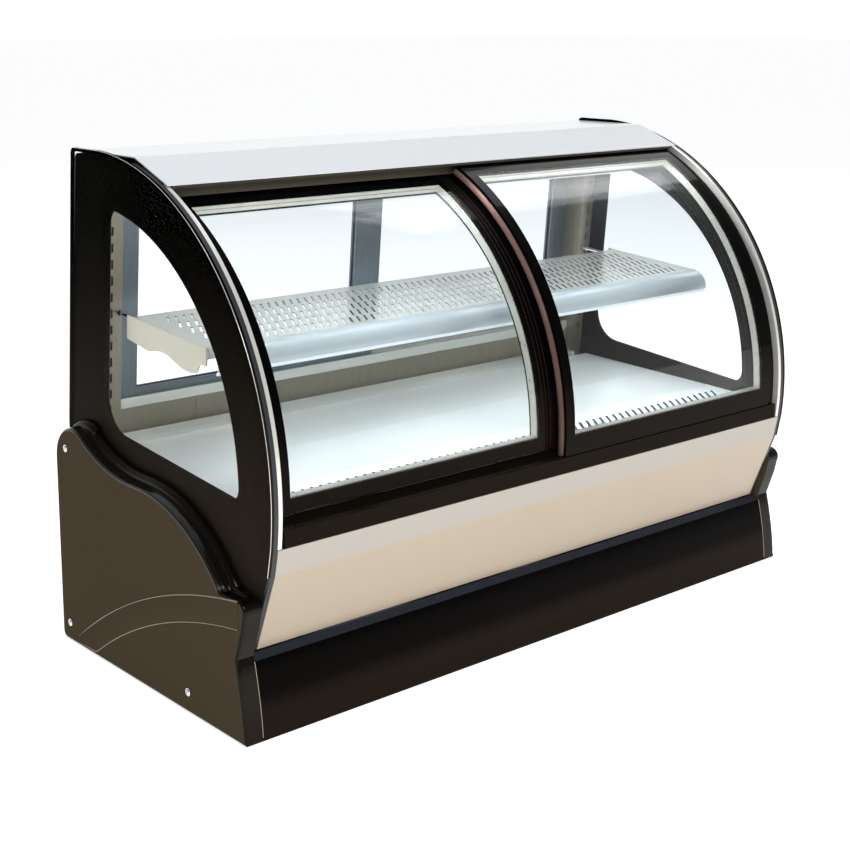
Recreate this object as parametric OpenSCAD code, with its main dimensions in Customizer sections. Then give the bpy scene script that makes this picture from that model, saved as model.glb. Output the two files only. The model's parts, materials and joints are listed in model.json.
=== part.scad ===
// Counter-top refrigerated glass display showcase.
// Frame: origin under the middle of the case on the counter, +X right seen from the
// customer side, +Y to the serving side, +Z up.  Millimetres.
//
// Side profile: an arc about (arc_y, arc_z) carries the curved doors, the side glass and
// their trims.  Every height and depth below is taken from the underside of the base and
// from the middle of the end caps; placed() moves the finished pieces into the frame.

/* [Overall] */
// Width over the two end caps
case_w = 1000; // [900:10:1200]
// Depth of the end caps
cap_d = 440; // [440:5:480]
// Height of the rubber feet under the base pan
foot_h = 4; // [3:1:6]
// Thickness of each end cap
cap_t = 26; // [26:1:34]

/* [Curved front] */
// Radius of the curved edge of the side panels
arc_r = 381; // [381:1:384]
// Height of the centre of the curve
arc_z = 287; // [285:1:288]
// Height of the top edge of the side panels
top_z = 668; // [667:1:672]
// Forward lean of the serving side, in degrees
lean = 5.3; // [4.5:0.1:5.5]

/* [Side glazing] */
// Thickness of every glass pane
pane_t = 4; // [3:0.5:4]
// Thickness of the black frame between the side panes
side_frame_t = 9; // [8:1:10]
// Width of the black border around the side window
border_w = 71; // [60:1:75]

/* [Doors] */
// Thickness of a curved double-glazed door
door_t = 18.4; // [16:0.2:18.6]
// Radius of the outer face of the right door, on the outer track
outer_door_r = 378; // [377:0.5:378]
// Step in radius between the two door tracks
track_step = 20; // [20:0.5:20]
// Left end of the right door
right_door_x0 = 4; // [0:1:10]
// Right end of the left door
left_door_x1 = 20; // [14:1:24]

/* [Shelf and deck] */
// Depth of the slotted shelf plate
shelf_d = 172; // [150:1:176]
// Tilt of the shelf, rear edge up, in degrees
shelf_tilt = 4.5; // [3:0.5:5]
// Tilt of the deck, rear edge up, in degrees
deck_tilt = 1.7; // [1.5:0.1:1.8]

/* [Hidden] */
eps = 0.01;
gap = 0.5;
round_fn = 96;
arc_fn = 240;

// widths, from the middle of the case outwards
half_w = case_w / 2;
glass_x = half_w - cap_t;              // outer face of the side glass
frame_x = glass_x - pane_t;            // outer face of the black side frame
inner_x = frame_x - side_frame_t;      // outer face of the inner side pane
cabin_x = inner_x - pane_t;            // inner face of the inner side pane
trim_x = frame_x - 6;                  // inner face of the grey edge trim
bead_x = trim_x - 5.5;                 // inner face of the bright bead
door_x = trim_x - 9;                   // outer ends of the two doors

// side profile
arc_y = 136;
y_back = 225;                          // rear edge of the side panels
y_front = arc_y - arc_r;               // foremost point of the curve
lean_z = 300;                          // height where the rear edge starts to lean
knee = [[-242, 237], [-235, 204], [-195, 103]];   // front edge below the sill
panel_z0 = 96;                         // lower edge of the side panels
corner_r = 8;

// door angles, from the horizontal through the arc centre, and the rows of the spacers
spacer_z = 286;                        // lower edge of the spacer bars
spacer_w = 1.5;                        // what stands out of the frame
inner_door_r = outer_door_r - track_step;
right_a = [asin((258.6 - arc_z) / outer_door_r), 65];
left_a = [-3, 70];
right_glass_a = [asin((spacer_z - arc_z) / outer_door_r), 61.4];
left_glass_a = [asin((spacer_z - arc_z) / inner_door_r), 63.9];
stile_w = [24, 33];                    // left door, right door, beside the side panel
centre_stile_w = [47, 16];             // left door, right door

// serving side, in a frame that leans with the rear edge
rear_post_w = 26;
rear_post_d = 62;
rear_door_x = cabin_x - rear_post_w - 1;
rear_door_w0 = 33;                     // lower and upper edge of the rear doors
rear_door_w1 = 295;
rear_stile_w = 32;
rear_overlap = 9;

// moves a finished piece into the frame of the object
module placed() translate([0, -(y_front + y_back) / 2, 0]) children();

// extrudes a (y, z) outline along X
module along_x(x0, x1) translate([x0, 0, 0]) rotate([90, 0, 90]) linear_extrude(x1 - x0) children();

// sweeps a (radius, x) outline about the centre of the curve between two angles
module swept(a0, a1)
    translate([0, arc_y, arc_z])
        rotate([-90, 0, -90])
            rotate([0, 0, -a1])
                rotate_extrude(angle = a1 - a0, $fn = arc_fn) children();

// a point of the curve in the (y, z) plane
function on_arc(r, a) = [arc_y - r * cos(a), arc_z + r * sin(a)];

// y of the leaning rear edge at height z
function rear_y(z) = y_back - max(0, z - lean_z) * tan(lean);

// points along an arc, centre c, radius r, angle a0 to a1 in n steps
function arc_pts(c, r, a0, a1, n) =
    [for (i = [0 : n]) let (a = a0 + (a1 - a0) * i / n) c + r * [cos(a), sin(a)]];

// frame whose origin is on the rear edge and whose z axis leans with it
module leaned() translate([0, y_back, lean_z]) rotate([lean, 0, 0]) children();

// a plain box between two corners
module box(a, b) translate(a) cube(b - a);

// ---------------------------------------------------------------- base

pan_t = 1.6;
pan_x = frame_x - 1;
pan_y = [-196, 212];
pan_rim_z = 30;
floor_z = foot_h + pan_t;              // upper face of the pan

module base_pan() color("#8f9294") placed() difference() {
    box([-pan_x, pan_y[0], foot_h], [pan_x, pan_y[1], pan_rim_z]);
    box([-pan_x + pan_t, pan_y[0] + pan_t, floor_z], [pan_x - pan_t, pan_y[1] - pan_t, 31]);
    for (i = [-12 : 12], y = [-120, 60])
        box([i * 30 - 3, y - 25, foot_h - 1], [i * 30 + 3, y + 25, floor_z + 1]);
}

foot_r = 16;
module feet() color("#161616") placed()
    for (x = [-1, 1], y = [-160, 180])
        translate([x * (half_w - 90), y, 0]) cylinder(r = foot_r, h = foot_h, $fn = round_fn);

// outline of an end cap in (y, z), grown by o along its wavy top
cap_rear_y = cap_d / 2;
cap_front_y = -cap_d / 2;
waist = [16.5, 101];                   // depth behind the front foot, height
function cap_front(z) = cap_front_y + waist[0] * pow(z / waist[1], 1.6);
function cap_outline(o) = concat(
    arc_pts([cap_rear_y - 10, 10], 10, -90, 0, 5),
    arc_pts([cap_rear_y - 45.5 - o, 255], 45.5 + o, 0, 120, 20),
    arc_pts([30, 489.5], 230 - o, -60, -90, 12),
    arc_pts([5, 33.5], 226 + o, 90, 141.5, 24),
    arc_pts([cap_front_y + 11, 162.5], 13.3, 70, 205, 12),
    [[cap_front_y + 3.5, 138], [cap_front_y + 10.5, 118], [cap_front(waist[1]), waist[1]]],
    [for (i = [9 : -1 : 0]) [cap_front(waist[1] * i / 10), waist[1] * i / 10]]
);

// moves every point of a closed outline inwards by d
function inset(p, d) = [for (i = [0 : len(p) - 1])
    let (t = p[(i + 1) % len(p)] - p[(i + len(p) - 1) % len(p)])
        p[i] + d * [-t[1], t[0]] / norm(t)];

// closed skin through equal outlines, each at its own x
module loft(xs, rings) {
    n = len(rings[0]);
    m = len(rings);
    polyhedron(
        points = [for (k = [0 : m - 1]) for (q = rings[k]) [xs[k], q[0], q[1]]],
        faces = concat(
            [[for (i = [0 : n - 1]) i]],
            [[for (i = [n - 1 : -1 : 0]) (m - 1) * n + i]],
            [for (k = [0 : m - 2], i = [0 : n - 1]) let (j = (i + 1) % n)
                [k * n + i, (k + 1) * n + j, k * n + j]],
            [for (k = [0 : m - 2], i = [0 : n - 1]) let (j = (i + 1) % n)
                [k * n + i, (k + 1) * n + i, (k + 1) * n + j]]
        ),
        convexity = 6
    );
}

ledge_rise = 10;                       // height of the bead beside the side glass
relief_t = 1.4;                        // height of the raised sweep on the outer face
sweep_arcs = [[[-319, -622], 805], [[-309, -597], 743]];
screw_at = [[cap_rear_y - 29.5, 271], [cap_rear_y - 23.5, 26], [cap_front_y + 121.5, 27]];
screw_r = 2;

// right-hand end cap; the left one is its mirror image
cap_face_x = half_w - relief_t;
module end_cap() {
    difference() {
        loft(
            [glass_x, glass_x + 3, glass_x + 7.5, glass_x + 11, cap_face_x - 4, cap_face_x - 1,
                cap_face_x],
            [cap_outline(ledge_rise), cap_outline(ledge_rise - 0.4), cap_outline(ledge_rise - 3),
                cap_outline(2), cap_outline(1), inset(cap_outline(0), 0.8), inset(cap_outline(0), 3)]
        );
        for (s = screw_at)
            translate([half_w - 8, s[0], s[1]]) rotate([0, 90, 0]) cylinder(r = screw_r, h = 9, $fn = 32);
    }
    // raised sweep on the outer face
    along_x(cap_face_x - 1, half_w) intersection() {
        polygon(inset(cap_outline(0), 5));
        polygon(concat(
            arc_pts(sweep_arcs[0][0], sweep_arcs[0][1], 40, 100, 60),
            arc_pts(sweep_arcs[1][0], sweep_arcs[1][1], 100, 40, 60)
        ));
    }
}
module left_end_cap() color("#2b231d") placed() mirror([1, 0, 0]) end_cap();
module right_end_cap() color("#2b231d") placed() end_cap();

screw_head_r = 5;
module end_cap_screws() color("#d6d8da") placed()
    for (side = [-1, 1], s = screw_at)
        scale([side, 1, 1]) translate([half_w - relief_t, s[0], s[1]]) rotate([0, 90, 0])
            difference() {
                union() {
                    cylinder(r = screw_head_r, h = 1.2, $fn = 48);
                    translate([0, 0, 1.2]) cylinder(r1 = 4.2, r2 = 2.8, h = 1.3, $fn = 48);
                    translate([0, 0, -6]) cylinder(r = screw_r, h = 6, $fn = 32);
                }
                for (a = [0, 90])
                    rotate([0, 0, a]) translate([-2.4, -0.5, 1.5]) cube([4.8, 1, 2]);
            }

// rounded kick fascia between the end caps
fascia_top = 94;
fascia_t = 3;
module base_fascia() color("#120f0d") placed() along_x(-glass_x + 0.3, glass_x - 0.3)
    polygon(concat(
        [for (i = [0 : 12]) [cap_front(fascia_top * i / 12), fascia_top * i / 12]],
        [[-196.5, 101.2], [-195.8, 98.6]],
        [for (i = [12 : -1 : 0]) [cap_front(fascia_top * i / 12) + fascia_t, (fascia_top - 3) * i / 12]]
    ));

// folded champagne sheet below the doors
sheet_t = 1.5;
module lower_front_panel() color("#cdbfa9") placed() {
    along_x(-trim_x + 0.3, trim_x - 0.3) polygon([
        knee[0] + [-0.8, -0.6], knee[1] + [-0.8, 0], knee[2] + [-0.8, 0.3], knee[2] + [0.9, 0.3],
        knee[1] + [0.9, 0.2], knee[0] + [0.9, -0.6]
    ]);
    along_x(-inner_x + 0.3, inner_x - 0.3) for (q = [knee[2] + [0, 0.3], knee[0] + [0, -0.6 - sheet_t]])
        translate(q) square([14, sheet_t]);
}

base_side_t = 1.5;
module base_sides() color("#8f9294") placed() for (x = [-cabin_x, cabin_x - base_side_t])
    box([x, -180, floor_z], [x + base_side_t, 210, 231]);

// louvred steel cover at the back of the machine compartment
louvre_n = 9;
module back_cover() color("#3a3c3e") placed() difference() {
    box([-cabin_x, pan_y[1] + 0.4, foot_h], [cabin_x, pan_y[1] + 1.9, 236]);
    for (i = [0 : louvre_n - 1], x = [-60, 60, 180, 300])
        box([x, pan_y[1] - 1, 40 + i * 18], [x + 96, pan_y[1] + 4, 48 + i * 18]);
    box([-331, pan_y[1] - 1, 151], [-249, pan_y[1] + 4, 189]);
    box([-212.5, pan_y[1] - 1, 155.5], [-181.5, pan_y[1] + 4, 184.5]);
    box([-406, pan_y[1] - 1, 48], [-358, pan_y[1] + 4, 76]);
}

// foam-filled floor with a well for the cooling coil
floor_top = 257;
well = [[-420, -150, 185], [420, 150, 300]];
module insulated_floor() color("#c9cccb") placed() difference() {
    box([-cabin_x + 2, -188.5, 165], [cabin_x - 2, 165, floor_top]);
    box(well[0], well[1]);
    translate([-390, 100, 160]) cylinder(r = 8, h = 30, $fn = 48);
}

module rear_wall() color("#6f6a63") placed() leaned() difference() {
    box([-cabin_x + rear_post_w + gap, -51, -62], [cabin_x - rear_post_w - gap, -1, 19.5]);
    box([-cabin_x, -51 + post_t, -62 + post_t], [cabin_x, -1 - post_t, 19.5 - post_t]);
}

// ---------------------------------------------------------------- side glazing

// outline of a side panel in (y, z), drawn in from the edge by d, with its top at z1
module panel_outline(d, z1) {
    r = arc_r - d;
    polygon(concat(
        arc_pts([rear_y(z1) - corner_r - d, z1 - corner_r], corner_r, -lean, 90, 8),
        arc_pts([arc_y, arc_z], r, 180 - asin((z1 - arc_z) / r),
            180 + asin((arc_z - knee[0][1]) / r), 90),
        [knee[1] + [1.05 * d, 0], knee[2] + [1.1 * d, 0], [knee[2][0] + 1.1 * d + 3, panel_z0],
            [y_back - d, panel_z0], [y_back - d, lean_z]]
    ));
}

// D-shaped window: an arc in front, straight edges at the rear and below, rounded corners
win_r = arc_r - border_w;
win_rear = 84;                         // width of the black border at the rear
win_low = 279;                         // height of the lower edge at the front corner
win_corner = [20, 46, 18];             // top, lower rear, lower front
rear_n = [cos(lean), sin(lean)];       // outward normal of the rear edge
low_n = [sin(lean), -cos(lean)];       // outward normal of the lower edge
win_c = [arc_y, arc_z];
rear_off = ([y_back - win_rear, lean_z] - win_c) * rear_n;
low_off = ([-135, win_low] - win_c) * low_n;
top_q = win_c + rear_n * (rear_off - win_corner[0])
    - low_n * sqrt(pow(win_r - win_corner[0], 2) - pow(rear_off - win_corner[0], 2));
front_q = win_c + low_n * (low_off - win_corner[2])
    - rear_n * sqrt(pow(win_r - win_corner[2], 2) - pow(low_off - win_corner[2], 2));
rear_q = win_c + rear_n * (rear_off - win_corner[1]) + low_n * (low_off - win_corner[1]);
function bearing(v) = atan2(v[1], v[0]);
module window_outline() {
    top_a = bearing(top_q - win_c);
    front_a = (bearing(front_q - win_c) + 360) % 360;
    polygon(concat(
        arc_pts(top_q, win_corner[0], lean, top_a, 10),
        arc_pts(win_c, win_r, top_a, front_a, 60),
        arc_pts(front_q, win_corner[2], front_a, 270 + lean, 10),
        arc_pts(rear_q, win_corner[1], -90 + lean, lean, 12)
    ));
}

module side_glass() along_x(frame_x, glass_x) panel_outline(0, top_z);
module left_side_glass() color("#9fb4b8", 0.35) placed() mirror([1, 0, 0]) side_glass();
module right_side_glass() color("#9fb4b8", 0.35) placed() side_glass();

play = 0.05;                           // between parts that would otherwise share a face
module side_frame() along_x(inner_x + play, frame_x - play) difference() {
    panel_outline(4.5, top_z - 7);
    window_outline();
}
module left_side_frame() color("#0b0a0a") placed() mirror([1, 0, 0]) side_frame();
module right_side_frame() color("#0b0a0a") placed() side_frame();

module inner_pane() along_x(cabin_x, inner_x) intersection() {
    translate([arc_y, arc_z]) circle(r = inner_door_r - door_t - 4, $fn = arc_fn);
    polygon([[-200, 258], [y_back - 8, 258], [y_back - 8, lean_z], [rear_y(650) - 8, 650],
        [-200, 650]]);
}
module left_inner_pane() color("#9fb4b8", 0.35) placed() mirror([1, 0, 0]) inner_pane();
module right_inner_pane() color("#9fb4b8", 0.35) placed() inner_pane();

trim_a = [asin((knee[0][1] - arc_z) / arc_r), 76];
trim_t = 4;
module edge_trim() {
    swept(trim_a[0], trim_a[1])
        translate([arc_r - trim_t, trim_x]) square([trim_t, frame_x - play - trim_x]);
    along_x(trim_x, frame_x - play)
        polygon([knee[0] + [0.4, 0], knee[1], knee[2], knee[2] + [trim_t, 1.5],
            knee[1] + [trim_t, 0.8], knee[0] + [trim_t, 0]]);
}
module left_edge_trim() color("#565b60") placed() mirror([1, 0, 0]) edge_trim();
module right_edge_trim() color("#565b60") placed() edge_trim();

module edge_bead() swept(trim_a[0], 66) polygon([
    [arc_r - trim_t, trim_x], [arc_r, trim_x], [arc_r, bead_x], [arc_r - 10, bead_x],
    [arc_r - 10, inner_x], [arc_r - trim_t, inner_x]
]);
module left_edge_bead() color("#e8e6e0") placed() mirror([1, 0, 0]) edge_bead();
module right_edge_bead() color("#e8e6e0") placed() edge_bead();

// ---------------------------------------------------------------- tracks and roof

// bottom track: outer groove for the right door, inner groove for the left one
groove_y = [-232, -212.4];
groove_w = 6;
sill_z = [237, 258, 264];              // underside, outer track, inner track
module door_sill() color("#1d1713") placed() along_x(-door_x, door_x) difference() {
    polygon([[-243, sill_z[0]], [-243, sill_z[1]], [-214.5, sill_z[1]], [-214.5, sill_z[2]],
        [-190, sill_z[2]], [-190, sill_z[0]]]);
    translate([groove_y[0], sill_z[1] - 10]) square([groove_w, 20]);
    translate([groove_y[1], sill_z[2] - 12]) square([groove_w, 20]);
}

// top track: a lip, a partition between the doors and a rear flange
module door_header() color("#15120f") placed() along_x(-door_x, door_x) polygon([
    [-25.8, 630.5], [-25.8, 634], [46, 661.5], [60, 661.5], [60, 652], [30, 652], [30, 598],
    [27, 598], [27, 626], [-8, 626], [-8, 618], [-11, 618], [-11, 631.5], [-24.2, 631.5],
    [-24.2, 630.5]
]);

module roof_panel() color("#d9dcdc") placed() along_x(-door_x, door_x) difference() {
    polygon([[30.5, 606], [184, 606], [180, 661.5], [60.5, 661.5], [60.5, 651.5], [30.5, 651.5]]);
    polygon([[31.7, 607.2], [182.7, 607.2], [178.9, 660.3], [61.7, 660.3], [61.7, 650.3],
        [31.7, 650.3]]);
}

cover_t = 1.3;
cover_pts = [[-27, 635.2], [48, 664], [186, 664]];
cover_drop = 56;                       // height of the flange at the serving side
module top_cover() color("#eceae6") placed() {
    along_x(-trim_x + 0.3, trim_x - 0.3) polygon([
        cover_pts[0], cover_pts[1], cover_pts[2], cover_pts[2] + [-1.3, -cover_t],
        cover_pts[1] + [0.3, -cover_t], cover_pts[0] + [0.5, -cover_t]
    ]);
    along_x(-inner_x + 0.3, inner_x - 0.3) polygon([
        cover_pts[2] - [4, 0], cover_pts[2], cover_pts[2] + cover_drop * [tan(lean), -1],
        cover_pts[2] + [cover_drop * tan(lean) - cover_t, -cover_drop],
        cover_pts[2] - [cover_t, cover_t], cover_pts[2] - [4, cover_t]
    ]);
}

lamp_x = cabin_x - 24;
module top_lamp_housing() color("#b9bdc0") placed() along_x(-lamp_x, lamp_x)
    polygon([[36, 606], [62, 606], [62, 595], [60.5, 595], [60.5, 604.5], [37.5, 604.5],
        [37.5, 595], [36, 595]]);
module top_lamp_lens() color("#f7fbff") placed() along_x(-lamp_x + 1, lamp_x - 1)
    translate([49, 600.2]) difference() {
        circle(r = 11.5, $fn = round_fn);
        translate([-12, 0]) square([24, 12]);
    }

// ---------------------------------------------------------------- serving side

post_t = 1.2;
module rear_post() leaned() difference() {
    box([cabin_x - rear_post_w, -rear_post_d, -62], [cabin_x - play, 0, 305]);
    box([cabin_x - rear_post_w + post_t, -rear_post_d + post_t, -63], [cabin_x - play - post_t, -post_t, 306]);
    for (i = [0 : 11])
        box([cabin_x - 12, -rear_post_d - 1, 20 + i * 22], [cabin_x - 9, -rear_post_d + 8, 32 + i * 22]);
}
module left_rear_post() color("#7a756c") placed() mirror([1, 0, 0]) rear_post();
module right_rear_post() color("#7a756c") placed() rear_post();

// two-groove rails for the rear doors; the left door runs in the inner groove
rear_rail_x = cabin_x - rear_post_w - gap;
rear_groove_u = [-46, -26];            // inner and outer groove, from the rear edge
rear_door_t = 12;
module rear_rail(w0, w1, open_w) leaned() difference() {
    box([-rear_rail_x, -51, w0], [rear_rail_x, -6, w1]);
    for (u = rear_groove_u)
        box([-rear_rail_x - 1, u - 0.8, open_w[0]], [rear_rail_x + 1, u + rear_door_t + 0.8, open_w[1]]);
}
module rear_bottom_rail() color("#a7a9a8") placed() rear_rail(20, 34, [rear_door_w0 - 4, 40]);
module rear_top_rail() color("#a7a9a8") placed() rear_rail(290, 306, [280, rear_door_w1 + 3]);

// frame of a rear door between x0 and x1, thickness from u0, stile widths s0 and s1
module rear_frame(x0, x1, u0, s0, s1) leaned() difference() {
    box([x0, u0, rear_door_w0 - 3], [x1, u0 + rear_door_t, rear_door_w1]);
    box([x0 + s0, u0 - 1, rear_door_w0 + 12], [x1 - s1, u0 + rear_door_t + 1, rear_door_w1 - 12]);
    box([x0 + s0 - 6, u0 + 3.5, rear_door_w0 + 6], [x1 - s1 + 6, u0 + 8.5, rear_door_w1 - 6]);
}
module rear_glass(x0, x1, u0, s0, s1) leaned()
    box([x0 + s0 - 6, u0 + 3.5, rear_door_w0 + 6], [x1 - s1 + 6, u0 + 8.5, rear_door_w1 - 6]);
// recessed finger pull, cut in the serving face of a stile
module finger_pull(x, u) leaned() translate([x, u, 150]) rotate([-90, 0, 0]) {
    cylinder(r = 9, h = 5, $fn = 48);
    translate([0, 40, 0]) cylinder(r = 9, h = 5, $fn = 48);
    translate([-9, 0, 0]) cube([18, 40, 5]);
}
rear_left = [-rear_door_x, rear_overlap, rear_groove_u[0], rear_stile_w, rear_stile_w + rear_overlap];
rear_right = [-rear_overlap, rear_door_x, rear_groove_u[1], rear_stile_w + rear_overlap, rear_stile_w];
module rear_left_door_frame() color("#9da0a0") placed() difference() {
    rear_frame(rear_left[0], rear_left[1], rear_left[2], rear_left[3], rear_left[4]);
    finger_pull(rear_left[0] + 14, rear_left[2] + rear_door_t - 3);
}
module rear_left_door_glass() color("#9fb4b8", 0.35) placed()
    rear_glass(rear_left[0], rear_left[1], rear_left[2], rear_left[3], rear_left[4]);
module rear_right_door_frame() color("#9da0a0") placed() difference() {
    rear_frame(rear_right[0], rear_right[1], rear_right[2], rear_right[3], rear_right[4]);
    finger_pull(rear_right[1] - 14, rear_right[2] + rear_door_t - 3);
}
module rear_right_door_glass() color("#9fb4b8", 0.35) placed()
    rear_glass(rear_right[0], rear_right[1], rear_right[2], rear_right[3], rear_right[4]);

// ---------------------------------------------------------------- curved front doors

// cuts the glass opening: r outer radius, ga glass angles, gx ends of the glass
module door_window(r, ga, gx)
    swept(ga[0], ga[1]) translate([r - door_t - 1, gx[0]]) square([door_t + 2, gx[1] - gx[0]]);
// (radius, x) outline of a stile beside a side panel, stepped back where it meets the bead
function side_stile(r, x0, x1) = [
    [r, x0 + (x1 - x0) * 0.55], [r - 4, x0 + (x1 - x0) * 0.6], [r - 4, x1], [r - door_t, x1]
];
// both panes of a door
module door_panes(r, ga, gx) swept(ga[0], ga[1]) {
    translate([r - pane_t, gx[0]]) square([pane_t, gx[1] - gx[0]]);
    translate([r - door_t, gx[0]]) square([pane_t, gx[1] - gx[0]]);
}
// hollow bar around the edge between the panes
module door_spacer(r, ga, gx) {
    da = spacer_w / r * 180 / PI;
    depth = door_t - 2 * pane_t;
    difference() {
        swept(ga[0], ga[1]) translate([r - pane_t - depth, gx[0]]) square([depth, gx[1] - gx[0]]);
        swept(ga[0] + da, ga[1] - da) translate([r - door_t, gx[0] + spacer_w])
            square([door_t, gx[1] - gx[0] - 2 * spacer_w]);
    }
}
// nylon glide shoes under a door whose lower end lies at angle a, in a groove at y with floor z0
module glides(y, z0, a, xs) for (x = xs) along_x(x - 25, x + 25) polygon([
    for (q = [y + 1, y + groove_w - 1]) [q, z0 + 1],
    for (q = [y + groove_w - 1, y + 1]) [q, arc_z + (arc_y - q) * tan(a) - 0.02]
]);

left_gx = [-door_x + stile_w[0], left_door_x1 - centre_stile_w[0]];
right_gx = [right_door_x0 + centre_stile_w[1], door_x - stile_w[1]];

stile_groove = [0.8, 1.2, 7];          // depth, width and pitch of the lines on the left door's stile
module left_door_frame() color("#0e0c0b") placed() {
    r = inner_door_r;
    difference() {
        swept(left_a[0], left_a[1]) polygon(concat(
            [for (q = side_stile(r, -left_gx[0], door_x)) [q[0], -q[1]]],
            [[r - door_t, left_door_x1], [r, left_door_x1]],
            [for (k = [3 : -1 : 1]) let (x = left_gx[1] + stile_groove[2] * k)
                each [[r, x + stile_groove[1]], [r - stile_groove[0], x + stile_groove[1]],
                    [r - stile_groove[0], x], [r, x]]]
        ));
        door_window(r, left_glass_a, left_gx);
    }
}
module left_door_glass() color("#a9c0c4", 0.35) placed()
    door_panes(inner_door_r, left_glass_a, left_gx);
module left_door_spacer() color("#dfe3e2") placed()
    door_spacer(inner_door_r, left_glass_a, left_gx);
module left_door_glides() color("#e9e9e4") placed()
    glides(groove_y[1], sill_z[2] - 12, left_a[0], [left_gx[0] + 40, left_gx[1] - 40]);

// the right door's inner stile carries the grip: a groove and a round bead along its side
grip_r = 4.5;
module right_door_frame() color("#0e0c0b") placed() {
    r = outer_door_r;
    x = right_door_x0;
    difference() {
        swept(right_a[0], right_a[1]) polygon(concat(
            side_stile(r, right_gx[1], door_x),
            [[r - door_t, x], [r - 15.4, x], [r - 15.4, x + 2.6], [r - 13.5, x + 2.6]],
            arc_pts([r - 9, x], grip_r, 180, 360, 12),
            [[r - 4.5, x + 2], [r - 3, x + 2], [r - 3, x], [r, x]]
        ));
        door_window(r, right_glass_a, right_gx);
    }
}
module right_door_glass() color("#a9c0c4", 0.35) placed()
    door_panes(outer_door_r, right_glass_a, right_gx);
module right_door_spacer() color("#dfe3e2") placed()
    door_spacer(outer_door_r, right_glass_a, right_gx);
module right_door_glides() color("#e9e9e4") placed()
    glides(groove_y[0], sill_z[1] - 10, right_a[0], [right_gx[0] + 40, right_gx[1] - 40]);

// ---------------------------------------------------------------- inside the cabin

// deck, with a row of air slots along the front
deck_front = [-188, 262];
deck_d = 338;
deck_t = 1.5;
module on_deck() translate([0, deck_front[0], deck_front[1]]) rotate([deck_tilt, 0, 0]) children();
module deck_plate() color("#d5d8d6") placed() on_deck() difference() {
    union() {
        box([-cabin_x + 2, 0, -deck_t], [cabin_x - 2, deck_d, 0]);
        box([-cabin_x + 2, deck_d - deck_t, -10], [cabin_x - 2, deck_d, 0]);
        box([-cabin_x + 2, 0, -5], [cabin_x - 2, deck_t, 0]);
    }
    for (i = [-30 : 30])
        translate([i * 14, 34, -5]) rotate([0, 0, -35]) translate([-2, -16, 0]) cube([4, 32, 10]);
}

// louvred air outlet along the foot of the rear wall
slat_n = 5;
module rear_grille() color("#b4b6b2") placed() {
    for (x = [-rear_rail_x, rear_rail_x - 4])
        box([x, 152, floor_top], [x + 4, 174.5, 279]);
    for (i = [0 : slat_n - 1])
        along_x(-rear_rail_x + 4, rear_rail_x - 4)
            translate([153 + i * 4.6, 271 + i * 1.2]) polygon([[0, 0], [1.2, 0], [4, 5], [2.8, 5]]);
}

shelf_front = [-85, 444];
shelf_x = cabin_x - 7;
shelf_t = 1.2;
slot_size = [3.2, 25];                 // width and length of a slot
slot_rows = [22, 51, 80, 109, 138];
slot_pitch = 12;
slot_n = floor(shelf_x / slot_pitch) - 2;
module on_shelf() translate([0, shelf_front[0], shelf_front[1]]) rotate([shelf_tilt, 0, 0]) children();
module shelf_plate() color("#d9d9d2") placed() on_shelf() difference() {
    union() {
        box([-shelf_x, 0, -shelf_t], [shelf_x, shelf_d, 0]);
        box([-shelf_x, shelf_d - shelf_t, -14], [shelf_x, shelf_d, 0]);
        box([-shelf_x, 0, -14], [shelf_x, shelf_t, 0]);
    }
    for (row = slot_rows, i = [-slot_n : slot_n])
        translate([i * slot_pitch, row, -5]) rotate([0, 0, -28])
            translate([-slot_size[0] / 2, -slot_size[1] / 2, 0]) cube([slot_size[0], slot_size[1], 10]);
}

// ogee-edged side brackets under the ends of the shelf
bracket_t = 2.5;
module shelf_brackets() color("#d8d3c1") placed() on_shelf()
    for (x0 = [-shelf_x - bracket_t, shelf_x])
        along_x(x0, x0 + bracket_t) polygon(concat(
            [[0, 0], [0, -22], [14, -23]],
            [for (i = [0 : 16]) [20 + 110 * i / 16, -34 - 5 * cos(360 * (i / 16 - 0.2))]],
            [[shelf_d + 12, -31], [shelf_d + 12, 0]]
        ));

// pegs that carry the rear of the shelf from the slotted posts
module shelf_pegs() color("#c9ccce") placed()
    for (side = [-1, 1]) on_shelf() translate([side * (shelf_x - 10), shelf_d, -7]) rotate([-90, 0, 0]) {
        cylinder(r = 3.5, h = 61, $fn = 48);
        translate([0, 0, 50]) sphere(r = 5, $fn = 48);
    }

// curved aluminium lamp housing along the front of the shelf
fascia_r = 24;
module shelf_fascia() color("#aab0b4") placed() on_shelf() along_x(-shelf_x, shelf_x) difference() {
    translate([-gap, -fascia_r]) {
        intersection() {
            circle(r = fascia_r, $fn = round_fn);
            translate([-fascia_r, 0]) square(fascia_r);
        }
    }
    translate([-gap, -fascia_r]) circle(r = fascia_r - 1.5, $fn = round_fn);
}
module shelf_lamp_lens() color("#ffffff") placed() on_shelf() along_x(-shelf_x + 1, shelf_x - 1)
    polygon([[-fascia_r - gap + 1, -fascia_r - 0.1], [-fascia_r + 3.5, -fascia_r - 0.1],
        [-fascia_r + 7, -fascia_r - 5.5], [-fascia_r + 2.5, -fascia_r - 5.5]]);

// ---------------------------------------------------------------- cooling

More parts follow.
